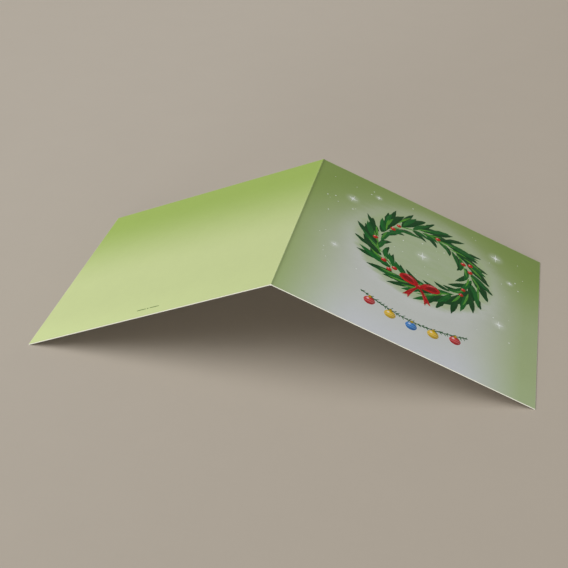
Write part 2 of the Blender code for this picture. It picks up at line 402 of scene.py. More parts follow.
def raise_surface(bench, shader, height, depth):
    """Give a surface relief, from a height and how many metres a height of 1 stands for."""
    bump = bench.add("ShaderNodeBump", {"Height": height, "Distance": depth, "Strength": 1.0})
    bench.feed(shader.inputs["Normal"], bump.outputs[0])


# Power that turns linear light into steps that look even
EYE = 2.2


def to_eye(colour):
    """A colour in steps that look even, for a blend that is then turned back."""
    return tuple(channel ** (1 / EYE) for channel in colour)


def shaded(colour, share):
    """A colour made darker by a share."""
    return tuple(channel * share for channel in colour)


def tinted(colour, other, share):
    """A colour with a share of another."""
    return tuple(a * (1 - share) + b * share for a, b in zip(colour, other))


def grey(level):
    """An even grey of a level."""
    return (level,) * 3


def cover_shares(bench, sizes):
    """A point's place, its axes, its shares across and up its cover, and both shares as one."""
    place = bench.add("ShaderNodeTexCoord").outputs["Object"]
    axes = bench.add("ShaderNodeSeparateXYZ", {"Vector": place}).outputs
    reach = sizes.panel_width * math.cos(sizes.panel_slope)
    inward = bench.over(bench.less(CARD_HIGH.x, bench.work("ABSOLUTE", axes["X"])), reach)
    across = bench.less(1.0, inward)
    up = bench.over(bench.less(axes["Y"], CARD_LOW.y), sizes.panel_height)
    flat = bench.add("ShaderNodeCombineXYZ", {"X": across, "Y": up}).outputs[0]
    return place, axes, across, up, flat


# The front cover's pale bell: its middle and half-width, where its round head springs
# and how far that rises, how square it is, and between which shares it turns to green
BELL_MIDDLE = 0.498
BELL_HALF_WIDTH = 0.623
BELL_SPRING = 0.434
BELL_RISE = 0.641
BELL_SQUARENESS = 1.83
BELL_RIM = (0.281, 1.047)
# Past this share of its width the front cover grows no greener
GREENEST = 0.94
# How high its cooler foot reaches, and the painted shade that darkens it from foot to head
# and from fold to fore-edge
FOOT_HEIGHT = 0.22
PAINTED_SHADE_UPWARD = (1.04, 0.76)
PAINTED_SHADE_ACROSS = (1.0, 0.93)


def front_ground(bench, colours, across, up):
    """The front cover: pale in the middle, green round its sides and head, with painted shade."""
    held = bench.work("MINIMUM", across, GREENEST)
    aside = bench.over(bench.work("ABSOLUTE", bench.less(held, BELL_MIDDLE)), BELL_HALF_WIDTH)
    above = bench.over(bench.work("MAXIMUM", bench.less(up, BELL_SPRING), 0.0), BELL_RISE)
    bulges = [bench.work("POWER", away, BELL_SQUARENESS) for away in (aside, above)]
    outward = bench.work("POWER", bench.plus(*bulges), 1 / BELL_SQUARENESS)
    foot = bench.ease(up, FOOT_HEIGHT, 0.0)
    pale = bench.blend(foot, to_eye(colours.front_pale), to_eye(colours.front_foot))
    even = bench.blend(bench.ease(outward, *BELL_RIM), pale, to_eye(colours.front_green))
    ground = bench.add("ShaderNodeGamma", {"Color": even, "Gamma": EYE}).outputs[0]
    # painted shade: darker towards the head and the fore-edge, a little lighter at the foot
    painted_shade_upward = bench.carry(up, 0.0, 1.0, *PAINTED_SHADE_UPWARD)
    light = bench.times(painted_shade_upward, bench.carry(across, 0.0, 1.0, *PAINTED_SHADE_ACROSS))
    return bench.add("ShaderNodeHueSaturation", {"Color": ground, "Value": light}).outputs[0]


# The wash behind the wreath: the scales of its streaks, how far its rim strays and
# softens, how strong its streaks are, and the rim and strength of the pale halo round it
STREAKS = (9.0, 26.0, 1.0)
WASH_STRAY = 0.022
WASH_STRENGTH = (0.72, 0.92)
HALO_RIM = (0.09, -0.01)
HALO_STRENGTH = 0.14
# The glow round a star: its radius in shares of the star's size, and its strength
GLOW_RADIUS = 1.7
GLOW_STRENGTH = 0.28
# Stars on the front cover: across, up, and the size
STAR_SHARES = (
    (0.17, 0.80, 0.024),
    (0.27, 0.90, 0.015),
    (0.80, 0.86, 0.027),
    (0.87, 0.72, 0.014),
    (0.16, 0.42, 0.017),
    (0.84, 0.40, 0.022),
    (0.50, 0.62, 0.026),
)


def washed(bench, colours, sizes, ground, flat):
    """The front ground with the wash and halo behind the wreath, and its stars' glow."""
    streaks = bench.noise(bench.stretch(flat, STREAKS), 1.0, 5.0, 0.65)
    out = bench.gap(flat, (sizes.wreath_across, sizes.wreath_up, 0.0))
    ragged = bench.plus(out, bench.carry(streaks, 0.25, 0.75, -WASH_STRAY, WASH_STRAY))
    halo = bench.ease(ragged, *(sizes.wash_radius + rim for rim in HALO_RIM))
    ground = bench.blend(bench.times(halo, HALO_STRENGTH), ground, colours.snow)
    inside = bench.ease(ragged, sizes.wash_radius + WASH_STRAY, sizes.wash_radius - WASH_STRAY)
    streaked = bench.carry(streaks, *ROUGH_SPAN, *WASH_STRENGTH)
    ground = bench.blend(bench.times(inside, streaked), ground, colours.wash)
    for x, y, size in STAR_SHARES:
        spot = bench.use(effect(soft_spot), place=flat, middle=(x, y, 0.0), radius=size * GLOW_RADIUS)
        ground = bench.blend(bench.times(spot["Mask"], GLOW_STRENGTH), ground, colours.snow)
    return ground


# The back cover: between which shares of its height it deepens, how far that slants, the
# painted light that brightens it from fold to fore-edge, and the painted light on its foot,
# up to where that reaches and how strong it is from fold to fore-edge
BACK_DEEPENS = (0.358, 0.923)
BACK_SLANT = 0.02
BACK_PAINTED_LIGHT = (0.955, 1.045)
BACK_FOOT_PAINTED_LIGHT = 1.08
BACK_FOOT_HEIGHT = 0.2
BACK_FOOT_STRENGTH = (0.25, 1.0)


def back_ground(bench, colours, across, up):
    """The back cover: spring green that deepens towards its head, with painted light."""
    lean = bench.times(bench.less(across, 0.5), BACK_SLANT)
    depth = bench.ease(bench.less(up, lean), *BACK_DEEPENS)
    ground = bench.blend(depth, colours.back_low, colours.back_head)
    # painted light: the back cover is made lighter towards its fore-edge
    light = bench.blend(across, *(grey(level) for level in BACK_PAINTED_LIGHT))
    ground = bench.blend(1.0, ground, light, "MULTIPLY")
    # painted light: the back cover is made lighter at its foot, most near its fore-edge
    strength = bench.carry(across, 0.0, 1.0, *BACK_FOOT_STRENGTH)
    foot = bench.times(bench.ease(up, BACK_FOOT_HEIGHT, 0.0), strength)
    return bench.blend(foot, ground, bench.blend(1.0, ground, grey(BACK_FOOT_PAINTED_LIGHT), "MULTIPLY"))


# How far a cut edge is rubbed, and how much board shows at rubbed and at all worn places
RUBBED_REACH = 0.0003
RUBBED_STRENGTH = 0.55
WORN_STRENGTH = 0.6
# The crest: half the width in which the two grounds meet, how far its cracks reach and
# where they are full, their scales, and the values of that cloud that are cracks
MEETING = 0.00015
CRACK_REACH = (0.00045, 0.0001)
CRACK_SCALES = (2500.0, 700.0, 2500.0)
CRACK_SPAN = (0.57, 0.66)


def worn_places(bench, sizes, place, axes, across):
    """Where bare board shows: at rubbed cut edges and in the cracks along the crest."""
    to_fore_edge = bench.times(bench.less(1.0, across), sizes.panel_width)
    to_foot = bench.less(axes["Y"], CARD_LOW.y)
    to_head = bench.less(CARD_HIGH.y, axes["Y"])
    nearest = bench.work("MINIMUM", to_fore_edge, bench.work("MINIMUM", to_foot, to_head))
    rubbed = bench.use(effect(rubbed_edge), place=place, distance=nearest, reach=RUBBED_REACH)["Mask"]
    crest = bench.ease(bench.work("ABSOLUTE", axes["X"]), *CRACK_REACH)
    cloud = bench.noise(bench.stretch(place, CRACK_SCALES), 1.0, 4.0, 0.7)
    cracked = bench.times(crest, bench.ease(cloud, *CRACK_SPAN))
    return bench.work("MAXIMUM", bench.times(rubbed, RUBBED_STRENGTH), cracked)


# Relief: the depth of the bare board's grain and of the print's, and the reach and
# height of the swell beside the scored strip
BOARD_GRAIN = 0.000012
PRINT_GRAIN = 0.000004
SWELL_REACH = 0.0026
SWELL_HEIGHT = 0.00026


def board_relief(bench, axes, grain, printed):
    """Height in metres of the grain, and of the swell that is highest at the crest."""
    fine = bench.times(grain["Height"], bench.carry(printed, 0.0, 1.0, BOARD_GRAIN, PRINT_GRAIN))
    rise = bench.carry(bench.work("ABSOLUTE", axes["X"]), SWELL_REACH, 0.0)
    swell = bench.times(bench.work("POWER", rise, 2.0), printed)
    return bench.plus(fine, bench.times(swell, SWELL_HEIGHT))


# How much the grain clouds the print, and how much fibre shows in the board, and its tone
PRINT_CLOUD = 0.035
FIBRE_SHARE = 0.1
FIBRE_TONE = (0.55, 0.53, 0.48)
# Roughness of the bare board, and that of the satin print over its grain
BARE_ROUGHNESS = 0.85
SATIN_ROUGHNESS = (0.4, 0.5)
# A face is printed where it looks up more than the first value, and fully past the second
LOOKS_UP = (0.45, 0.55)


def printed_card_material(sizes, colours):
    """Satin print outside, and bare white board inside and along the cut edges."""
    material, bench, shader = new_material("printed card board", 0.4)
    place, axes, across, up, flat = cover_shares(bench, sizes)
    front = washed(bench, colours, sizes, front_ground(bench, colours, across, up), flat)
    back = back_ground(bench, colours, across, up)
    ink = bench.blend(bench.ease(axes["X"], -MEETING, MEETING), back, front)
    grain = bench.use(effect(paper_grain), place=place, scale=1.0)
    ink = bench.blend(bench.carry(grain["Shade"], *SOFT_SPAN, 0.0, PRINT_CLOUD), ink, grey(0.0))
    worn = worn_places(bench, sizes, place, axes, across)
    ink = bench.blend(bench.times(worn, WORN_STRENGTH), ink, colours.board)
    normal = bench.add("ShaderNodeNewGeometry").outputs["True Normal"]
    upward = bench.add("ShaderNodeSeparateXYZ", {"Vector": normal}).outputs["Z"]
    printed = bench.ease(upward, *LOOKS_UP)
    cut_edge = bench.ease(bench.work("ABSOLUTE", upward), *reversed(LOOKS_UP))
    fibres = bench.carry(grain["Shade"], *SOFT_SPAN, 0.0, FIBRE_SHARE)
    bare = bench.blend(fibres, bench.blend(cut_edge, colours.board, colours.cut), FIBRE_TONE)
    bench.feed(shader.inputs["Base Color"], bench.blend(printed, bare, ink))
    satin = bench.carry(grain["Height"], *ROUGH_SPAN, *SATIN_ROUGHNESS)
    bench.feed(shader.inputs["Roughness"], bench.level(printed, BARE_ROUGHNESS, satin))
    raise_surface(bench, shader, board_relief(bench, axes, grain, printed), 1.0)
    return material


def stroke_run(bench):
    """A point's place on the map along its stroke."""
    return bench.add("ShaderNodeUVMap", uv_map=STROKE_MAP).outputs[0]


def own_tint(bench):
    """The tint of the stroke that a point lies on."""
    return bench.add("ShaderNodeAttribute", attribute_name=TINT).outputs["Fac"]


# Painted ink: the marks that are bright, the tints whose strokes have them and how
# strongly, how much deeper a stroke can be, how its roughness varies, and its relief
BRIGHT_MARKS = (0.7, 1.0)
BRIGHT_TINTS = (0.2, 1.0)
BRIGHTEST = 0.8
DEEPEST = 0.22
INK_SPREAD = (0.08, -0.06)
INK_RELIEF = 0.00001


def ink_material(name, main, deep, light, roughness=0.4):
    """Painted ink whose tone runs along the stroke, with a little of its own for each."""
    material, bench, shader = new_material(name, 0.15)
    tint = own_tint(bench)
    marks = bench.use(effect(brush_marks), run=stroke_run(bench), tint=tint, coarseness=1.0)
    tone = bench.blend(marks["Shade"], deep, main)
    strength = bench.carry(tint, *BRIGHT_TINTS, 0.0, BRIGHTEST)
    bright = bench.times(bench.ease(marks["Shade"], *BRIGHT_MARKS), strength)
    tone = bench.blend(bright, tone, light)
    own = bench.carry(tint, 0.0, 1.0, 0.0, DEEPEST)
    bench.feed(shader.inputs["Base Color"], bench.blend(own, tone, deep))
    spread = bench.carry(marks["Height"], *ROUGH_SPAN, *(roughness + more for more in INK_SPREAD))
    bench.feed(shader.inputs["Roughness"], spread)
    raise_surface(bench, shader, marks["Height"], INK_RELIEF)
    return material


# A painted ball: the middle and radius of its lit side and of its glint, the glint's tone
# and strength, how much its marks show, its roughness over them, and its relief
LIT_SIDE = {"middle": (0.36, 0.66, 0.0), "radius": 0.75}
GLINT = {"middle": (0.33, 0.7, 0.0), "radius": 0.17}
GLINT_TONE = (0.95, 0.95, 0.93)
GLINT_STRENGTH = 0.85
BALL_MARKS = 0.12
BALL_ROUGHNESS = (0.42, 0.3)
BALL_RELIEF = 0.000008
# Its two bands: where their middle lies, how far from it they end and start, and how
# strong they are
BAND_MIDDLE = 0.48
BAND_END = (0.17, 0.14)
BAND_START = (0.09, 0.06)
BAND_STRENGTH = 0.45


def round_material(name, main, deep, light, banded=False):
    """Painted ball: lit from one side, darker round its rim, and banded if asked."""
    material, bench, shader = new_material(name, 0.18)
    run = stroke_run(bench)
    marks = bench.use(effect(brush_marks), run=run, tint=own_tint(bench), coarseness=0.5)
    lit = bench.use(effect(soft_spot), place=run, **LIT_SIDE)["Mask"]
    glint = bench.use(effect(soft_spot), place=run, **GLINT)["Mask"]
    tone = bench.blend(lit, deep, main)
    tone = bench.blend(bench.times(marks["Shade"], BALL_MARKS), tone, light)
    if banded:
        rise = bench.add("ShaderNodeSeparateXYZ", {"Vector": run}).outputs["Y"]
        off = bench.work("ABSOLUTE", bench.less(rise, BAND_MIDDLE))
        bands = bench.less(bench.ease(off, *BAND_END), bench.ease(off, *BAND_START))
        tone = bench.blend(bench.times(bands, BAND_STRENGTH), tone, light)
    tone = bench.blend(bench.times(glint, GLINT_STRENGTH), tone, GLINT_TONE)
    bench.feed(shader.inputs["Base Color"], tone)
    bench.feed(shader.inputs["Roughness"], bench.carry(marks["Shade"], 0.0, 1.0, *BALL_ROUGHNESS))
    raise_surface(bench, shader, marks["Height"], BALL_RELIEF)
    return material


def leave_edit_mode():
    """Go back to whole objects, with nothing selected."""
    active = bpy.context.view_layer.objects.active
    if active and active.mode != "OBJECT":
        bpy.ops.object.mode_set(mode="OBJECT")
    bpy.ops.object.select_all(action="DESELECT")


def begin(name):
    """Name the primitive that was just added, and shape it in edit mode."""
    piece = bpy.context.view_layer.objects.active
    piece.name = name
    piece.data.name = name
    bpy.ops.object.transform_apply(location=True, rotation=True, scale=True)
    bpy.ops.object.mode_set(mode="EDIT")
    return piece


def pick(piece, test):
    """Select the points of a piece in edit mode whose place passes a test."""
    bpy.ops.mesh.select_mode(type="VERT")
    bpy.ops.mesh.select_all(action="DESELECT")
    drawn = bmesh.from_edit_mesh(piece.data)
    for point in drawn.verts:
        point.select_set(bool(test(point.co)))
    drawn.select_flush(True)
    bmesh.update_edit_mesh(piece.data)


def near(value, target, slack=0.0001):
    """Whether two lengths of a template are the same, but for a slack."""
    return abs(value - target) < slack


def shrink_top(piece, middle, along, across):
    """Draw the top of a template in towards its middle, so that its sides lean."""
    pick(piece, lambda co: near(co.z, 1))
    bpy.ops.transform.resize(value=(along, across, 1), center_override=middle)


def lay_map(piece):
    """Give a template the flat map along which its paint runs."""
    for old in list(piece.data.uv_layers):
        piece.data.uv_layers.remove(old)
    flat = piece.data.uv_layers.new(name=STROKE_MAP)
    round_piece = min(v.co.x for v in piece.data.vertices) < -0.5
    for loop in piece.data.loops:
        co = piece.data.vertices[loop.vertex_index].co
        across = co.x / 2 + 0.5 if round_piece else co.x
        flat.data[loop.index].uv = (across, co.y / 2 + 0.5)


def end_template(piece):
    """Leave a finished template, with its face normals outwards and its flat map."""
    bpy.ops.mesh.select_all(action="SELECT")
    bpy.ops.mesh.normals_make_consistent(inside=False)
    bpy.ops.object.mode_set(mode="OBJECT")
    lay_map(piece)
    leave_edit_mode()
    return piece


# A stroke's outline gives its half-width at shares of its length. Its bend carries its
# middle aside, its roughness is how far its sides stray, and a notch is cut in its end.
Stroke = namedtuple("Stroke", "outline bend roughness notch", defaults=(0.0,))
BROAD_STROKE = Stroke(
    ((0, 0.10), (0.07, 0.48), (0.2, 0.82), (0.4, 1.0), (0.6, 0.94), (0.78, 0.68), (0.91, 0.34), (1, 0.04)),
    bend=0.35,
    roughness=0.13,
)
SLIM_STROKE = Stroke(
    ((0, 0.08), (0.12, 0.55), (0.32, 0.95), (0.55, 1.0), (0.78, 0.7), (0.92, 0.35), (1, 0.04)),
    bend=0.5,
    roughness=0.12,
)
CREASE_STROKE = SLIM_STROKE._replace(bend=0.3, roughness=0.1)
NEEDLE_STROKE = SLIM_STROKE._replace(bend=0.2, roughness=0.08)
LOOP_STROKE = Stroke(
    ((0, 0.14), (0.12, 0.42), (0.34, 0.82), (0.6, 1.0), (0.82, 0.86), (0.95, 0.5), (1, 0.2)),
    bend=0.28,
    roughness=0.04,
)
TAIL_STROKE = Stroke(
    ((0, 0.22), (0.2, 0.4), (0.45, 0.6), (0.72, 0.8), (1, 1.0)), bend=0.3, roughness=0.03, notch=0.16
)
DASH_STROKE = Stroke(
    ((0, 0.45), (0.08, 0.85), (0.3, 1.0), (0.7, 1.0), (0.92, 0.85), (1, 0.45)), bend=0.0, roughness=0.03
)
# How much of a side's stray also runs along the stroke, and the slack that this takes
STRAY_ALONG = 0.12
STRAY_SLACK = 0.02


def model_stroke(name, stroke, chance, side=1):
    """Model one brush stroke from 0 to 1 along X, one half wide each way and one thick."""
    leave_edit_mode()
    bpy.ops.mesh.primitive_cube_add(size=1, location=(0.5, 0, 0.5))
    piece = begin(name)
    bpy.ops.mesh.select_all(action="SELECT")
    bpy.ops.transform.resize(value=(1, 2, 1), center_override=(0.5, 0, 0.5))
    crosswise = [((share, 0, 0), (1, 0, 0)) for share, _ in stroke.outline[1:-1]]
    for place, normal in (*crosswise, (ORIGIN, (0, 1, 0))):
        bpy.ops.mesh.select_all(action="SELECT")
        bpy.ops.mesh.bisect(plane_co=place, plane_no=normal)
    for share, half_width in stroke.outline:
        for flank in (-1, 1):
            pick(piece, lambda co: near(co.x, share) and near(co.y, flank))
            stray = chance.uniform(-stroke.roughness, stroke.roughness)
            aside = flank * (half_width + stray * half_width - 1)
            bpy.ops.transform.translate(value=(stray * STRAY_ALONG, aside, 0))
    for share, _ in stroke.outline:
        pick(piece, lambda co: near(co.x, share, STRAY_SLACK))
        bpy.ops.transform.translate(value=(0, side * stroke.bend * 4 * share * (1 - share), 0))
    if stroke.notch:
        pick(piece, lambda co: near(co.x, 1) and near(co.y, 0))
        bpy.ops.transform.translate(value=(-stroke.notch, 0, 0))
    shrink_top(piece, (0.5, 0, 1), 0.985, 0.93)
    return end_template(piece)


def model_ball(name, segments=20, rings=8):
    """Model a low dome of radius 1 and height 1, with a flat foot."""
    leave_edit_mode()
    bpy.ops.mesh.primitive_uv_sphere_add(segments=segments, ring_count=rings, radius=1)
    piece = begin(name)
    bpy.ops.mesh.select_all(action="SELECT")
    bpy.ops.mesh.bisect(plane_co=(0, 0, 0.02), plane_no=(0, 0, 1), clear_inner=True, use_fill=True)
    return end_template(piece)


def model_star(name, tips, waist):
    """Model a flat star of radius 1 and thickness 1 with slender tips."""
    leave_edit_mode()
    bpy.ops.mesh.primitive_circle_add(vertices=2 * tips, radius=1, fill_type="NGON")
    piece = begin(name)
    step = math.pi / tips
    pick(piece, lambda co: round(math.atan2(co.y, co.x) / step) % 2 == 1)
    bpy.ops.transform.resize(value=(waist, waist, 1), center_override=ORIGIN)
    bpy.ops.mesh.select_all(action="SELECT")
    bpy.ops.mesh.extrude_region_move(TRANSFORM_OT_translate={"value": (0, 0, 1)})
    shrink_top(piece, (0, 0, 1), 0.96, 0.96)
    return end_template(piece)


def foot_corner(fore_edge):
    """Where the printed face meets its fore-edge at the foot of a cover."""
    sizes = bpy.context.scene.card_sizes
    return Vector((fore_edge, CARD_LOW.y, sizes.board_thickness * math.cos(sizes.panel_slope)))


def front_cover():
    """Carries a flat drawing, from the fold, onto the front cover."""
    sizes = bpy.context.scene.card_sizes
    slope = sizes.panel_slope
    to_fold = sizes.panel_width * Vector((-math.cos(slope), 0, math.sin(slope)))
    return Matrix.Translation(foot_corner(CARD_HIGH.x) + to_fold) @ Matrix.Rotation(slope, 4, "Y")


def back_cover():
    """Carries a flat drawing, from the fore-edge, onto the back cover."""
    slope = bpy.context.scene.card_sizes.panel_slope
    return Matrix.Translation(foot_corner(CARD_LOW.x)) @ Matrix.Rotation(-slope, 4, "Y")


def direction(turn):
    """Flat direction at a turn from the line across the cover."""
    return Vector((math.cos(turn), math.sin(turn)))


class Drawing:
    """A cover laid flat: its sizes and colours, and the hand that draws on it."""

    def __init__(self, context, seed):
        self.sizes = context.scene.card_sizes
        self.colours = context.scene.print_colours
        self.unit = min(self.sizes.panel_width, self.sizes.panel_height)
        self.chance = random.Random(seed)

    def place(self, across, up):
        """Flat place at shares of the cover's width and height."""
        return Vector((self.sizes.panel_width * across, self.sizes.panel_height * up))

    def wreath_middle(self):
        """Flat place of the wreath's middle."""
        return self.place(self.sizes.wreath_across, self.sizes.wreath_up)

    def lay(self, template, place, turn, length, lift, tint, half_width=None):
        """Lay a copy of a template, with its own mesh and tint, and sizes given as shares."""
        copy = template.copy()
        copy.data = template.data.copy()
        bpy.context.scene.collection.objects.link(copy)
        across = self.unit * (half_width or length)
        grow = Matrix.Diagonal((self.unit * length, across, INK_SINK + lift, 1))
        set_down = Matrix.Translation((place[0], place[1], -INK_SINK)) @ Matrix.Rotation(turn, 4, "Z")
        copy.data.transform(set_down @ grow)
        tints = copy.data.attributes.new(TINT, "FLOAT", "POINT")
        tints.data.foreach_set("value", [tint] * len(copy.data.vertices))
        return copy


# Faces that meet at less than this angle are shaded as one
SMOOTH_ANGLE = math.radians(35)


def finish_piece(name, parts, material, cover=front_cover):
    """Join the laid copies to one piece on a cover, with its ink, and let it ride."""
    leave_edit_mode()
    for part in parts:
        part.select_set(True)
    bpy.context.view_layer.objects.active = parts[0]
    if len(parts) > 1:
        bpy.ops.object.join()
    piece = bpy.context.view_layer.objects.active
    piece.name = name
    piece.data.name = name
    piece.data.transform(cover())
    piece.data.materials.clear()
    piece.data.materials.append(material)
    bpy.ops.object.shade_smooth_by_angle(angle=SMOOTH_ANGLE)
    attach(piece, BODY)
    leave_edit_mode()


def drop_templates(*templates):
    """Remove the templates once their copies are laid."""
    for template in templates:
        bpy.data.meshes.remove(template.data)


class CARD_OT_print_board(bpy.types.Operator):
    """Print the board's grounds and leave its inside and cut edges bare"""

    bl_idname = "card.print_board"
    bl_label = "Print the board"

    def execute(self, context):
        scene = context.scene
        material = printed_card_material(scene.card_sizes, scene.print_colours)
        for place in CARD.material_slots:
            place.material = material
        return {"FINISHED"}


# Rows of the wreath: the ink, the brush and how many strokes; their ring, in shares of
# the wreath's, and how far they stray off it; how many degrees they spread off the ring;
# their length and half-width; and the layer that the row lies in
WreathRow = namedtuple("WreathRow", "ink brush strokes ring stray spread length half_width layer")
WREATH_ROWS = (
    WreathRow("fir", "broad", 20, 1.00, 0.012, 8, 0.135, 0.0200, 0),
    WreathRow("fir", "broad", 22, 1.06, 0.010, 42, 0.110, 0.0125, 1),
    WreathRow("fir", "slim", 18, 0.94, 0.010, -48, 0.082, 0.0105, 1),
    WreathRow("leaf", "broad", 20, 1.04, 0.014, 27, 0.105, 0.0115, 2),
    WreathRow("leaf", "slim", 20, 0.95, 0.012, -30, 0.090, 0.0100, 2),
    WreathRow("lime", "slim", 22, 1.03, 0.020, 18, 0.085, 0.0052, 3),
    WreathRow("lime", "slim", 14, 0.95, 0.014, -14, 0.070, 0.0042, 3),
)
# The shapes of a brush, the lifts and the starts of the rows come round in threes
CYCLE = 3
# How far a stroke strays from its pitch and, in degrees, from its heading, and the
# shares of its row's length and half-width that it can have
PITCH_STRAY = 0.25
HEADING_STRAY = 9
LENGTH_SHARES = (0.82, 1.15)
WIDTH_SHARES = (0.85, 1.15)


def paint_row(drawing, order, row, shapes):
    """Lay one row of strokes round the wreath's ring, with a brush's shapes in turn."""
    chance = drawing.chance
    strokes = []
    for number in range(row.strokes):
        pitch = number + chance.uniform(-PITCH_STRAY, PITCH_STRAY) + order / CYCLE
        turn = math.tau * pitch / row.strokes
        ring = row.ring * drawing.sizes.wreath_ring + chance.uniform(-row.stray, row.stray)
        place = drawing.wreath_middle() + drawing.unit * ring * direction(turn)
        spread = math.radians(row.spread + chance.uniform(-HEADING_STRAY, HEADING_STRAY))
        heading = turn - math.pi / 2 + spread
        length = row.length * chance.uniform(*LENGTH_SHARES)
        half_width = row.half_width * chance.uniform(*WIDTH_SHARES)
        lift = ROW_LIFT + ROW_STEP * row.layer + STROKE_STEP * (number % CYCLE)
        shape = shapes[(number + order) % CYCLE]
        strokes.append(drawing.lay(shape, place, heading, length, lift, chance.random(), half_width))
    return strokes


class CARD_OT_paint_wreath(bpy.types.Operator):
    """Paint the wreath's strokes, row over row round its ring"""

    bl_idname = "card.paint_wreath"
    bl_label = "Paint the wreath"

    def execute(self, context):
        drawing = Drawing(context, seed=12)
        brushes = {
            brush: [model_stroke(f"{brush} {shape}", stroke, drawing.chance) for shape in range(CYCLE)]
            for brush, stroke in (("broad", BROAD_STROKE), ("slim", SLIM_STROKE))
        }
        laid = {"fir": [], "leaf": [], "lime": []}
        for order, row in enumerate(WREATH_ROWS):
            laid[row.ink] += paint_row(drawing, order, row, brushes[row.brush])
        fir, leaf, lime = drawing.colours.fir, drawing.colours.leaf, drawing.colours.lime
        inks = {
            "fir": ink_material("fir ink", fir, shaded(fir, 0.5), tinted(fir, leaf, 0.7)),
            "leaf": ink_material("leaf ink", leaf, fir, tinted(leaf, lime, 0.5)),
            "lime": ink_material("lime ink", lime, leaf, tinted(lime, drawing.colours.snow, 0.3)),
        }
        for ink, strokes in laid.items():
            finish_piece(f"wreath_{ink}_strokes", strokes, inks[ink])
        drop_templates(*brushes["broad"], *brushes["slim"])
        return {"FINISHED"}


# Berries: the share of a turn round the ring, and how far out, in shares of the ring
BERRY_SHARES = (
    (0.05, 1.0),
    (0.085, 1.09),
    (0.09, 0.93),
    (0.36, 1.025),
    (0.395, 0.95),
    (0.61, 1.01),
    (0.65, 1.08),
    (0.652, 0.93),
    (0.90, 1.03),
    (0.93, 0.95),
    (0.22, 0.99),
    (0.50, 1.05),
)
BERRY_RADII = (0.01025, 0.0135)


class CARD_OT_paint_berries(bpy.types.Operator):
    """Paint the wreath's berries in clusters"""

    bl_idname = "card.paint_berries"
    bl_label = "Paint the berries"

    def execute(self, context):
        drawing = Drawing(context, seed=5)
        red, chance = drawing.colours.red, drawing.chance
        ring = drawing.unit * drawing.sizes.wreath_ring
        ball = model_ball("berry")
        berries = []
        for number, (share, out) in enumerate(BERRY_SHARES):
            place = drawing.wreath_middle() + ring * out * direction(math.tau * share)
            radius = chance.uniform(*BERRY_RADII)
            lift = BERRY_LIFT + STROKE_STEP * (number % CYCLE)
            berries.append(drawing.lay(ball, place, 0, radius, lift, chance.random()))
        ink = round_material("berry ink", red, shaded(red, 0.42), tinted(red, drawing.colours.gold, 0.3))
        finish_piece("wreath_berries", berries, ink)
        drop_templates(ball)
        return {"FINISHED"}


# Parts of the bow's right side, which the left side mirrors: the angle from the line
# across the cover, the length and half-width, the lift and the tint
BowPart = namedtuple("BowPart", "angle length half_width lift tint")
BOW_TAIL = BowPart(math.radians(-64), 0.105, 0.0125, RIBBON_LIFT, 0.9)
BOW_LOOP = BowPart(math.radians(20), 0.088, 0.027, RIBBON_LIFT + STROKE_STEP, 0.2)
BOW_HOLLOW = BowPart(math.radians(20), 0.05, 0.0135, RIBBON_LIFT + 3 * STROKE_STEP, 0.4)
BOW_CREASE = BowPart(math.radians(-60), 0.075, 0.0022, RIBBON_LIFT + 3 * STROKE_STEP, 0.7)
BOW_KNOT = BowPart(0, 0.0145, 0.0165, RIBBON_LIFT + 5 * STROKE_STEP, 0.1)
LOOP_SHINE = BowPart(math.radians(24), 0.042, 0.0020, SHINE_LIFT, 0.3)
KNOT_SHINE = BowPart(0.1, 0.011, 0.0022, SHINE_LIFT, 0.3)
# How far along its loop the hollow starts, how far along and above it the loop's shine
# starts, and where the knot's shine starts
HOLLOW_START = 0.026
SHINE_START = 0.028
SHINE_RISE = 0.021
KNOT_SHINE_START = (-0.006, 0.006)


class CARD_OT_tie_bow(bpy.types.Operator):
    """Paint the ribbon bow at the wreath's foot"""

    bl_idname = "card.tie_bow"
    bl_label = "Tie the bow"

    def execute(self, context):
        drawing = Drawing(context, seed=9)
        colours, chance = drawing.colours, drawing.chance
        knot = drawing.wreath_middle() - drawing.unit * Vector((0, drawing.sizes.wreath_ring))
        loops = {side: model_stroke(f"loop {side}", LOOP_STROKE, chance, side) for side in (1, -1)}
        tails = {side: model_stroke(f"tail {side}", TAIL_STROKE, chance, side) for side in (1, -1)}
        crease = model_stroke("crease", CREASE_STROKE, chance)
        ball = model_ball("knot")

        def lay(template, part, side=1, start=(0, 0)):
            turn = part.angle if side > 0 else math.pi - part.angle
            place = knot + drawing.unit * Vector(start)
            return drawing.lay(template, place, turn, part.length, part.lift, part.tint, part.half_width)

        bands, folds, shines = [], [], []
        for side in (1, -1):
            outward = Vector((side * math.cos(BOW_LOOP.angle), math.sin(BOW_LOOP.angle)))
            shine_start = SHINE_START * outward + Vector((0, SHINE_RISE))
            bands.append(lay(tails[side], BOW_TAIL, side))
            bands.append(lay(loops[side], BOW_LOOP, side))
            folds.append(lay(loops[side], BOW_HOLLOW, side, HOLLOW_START * outward))
            folds.append(lay(crease, BOW_CREASE, side))
            shines.append(lay(crease, LOOP_SHINE, side, shine_start))
        bands.append(lay(ball, BOW_KNOT))
        shines.append(lay(crease, KNOT_SHINE, start=KNOT_SHINE_START))
        red, deep = colours.red, shaded(colours.red, 0.45)
        light = tinted(colours.red, colours.snow, 0.35)
        finish_piece("bow_ribbon", bands, ink_material("ribbon ink", red, deep, light))
        finish_piece("bow_folds", folds, ink_material("ribbon shade ink", deep, shaded(deep, 0.5), red))
        finish_piece("bow_shine", shines, ink_material("ribbon light ink", light, red, colours.snow))
        drop_templates(*loops.values(), *tails.values(), crease, ball)
        return {"FINISHED"}


# Stars: their tips, how far they lean in radians, and for the long and the short star of
# each the waist and the reach of its tips, in shares of the star's size
STAR_TIPS = 4
STAR_LEAN = 0.25
LONG_WAIST = 0.14
LONG_REACH = (0.86, 1.15)
SHORT_WAIST = 0.2
SHORT_REACH = 0.5
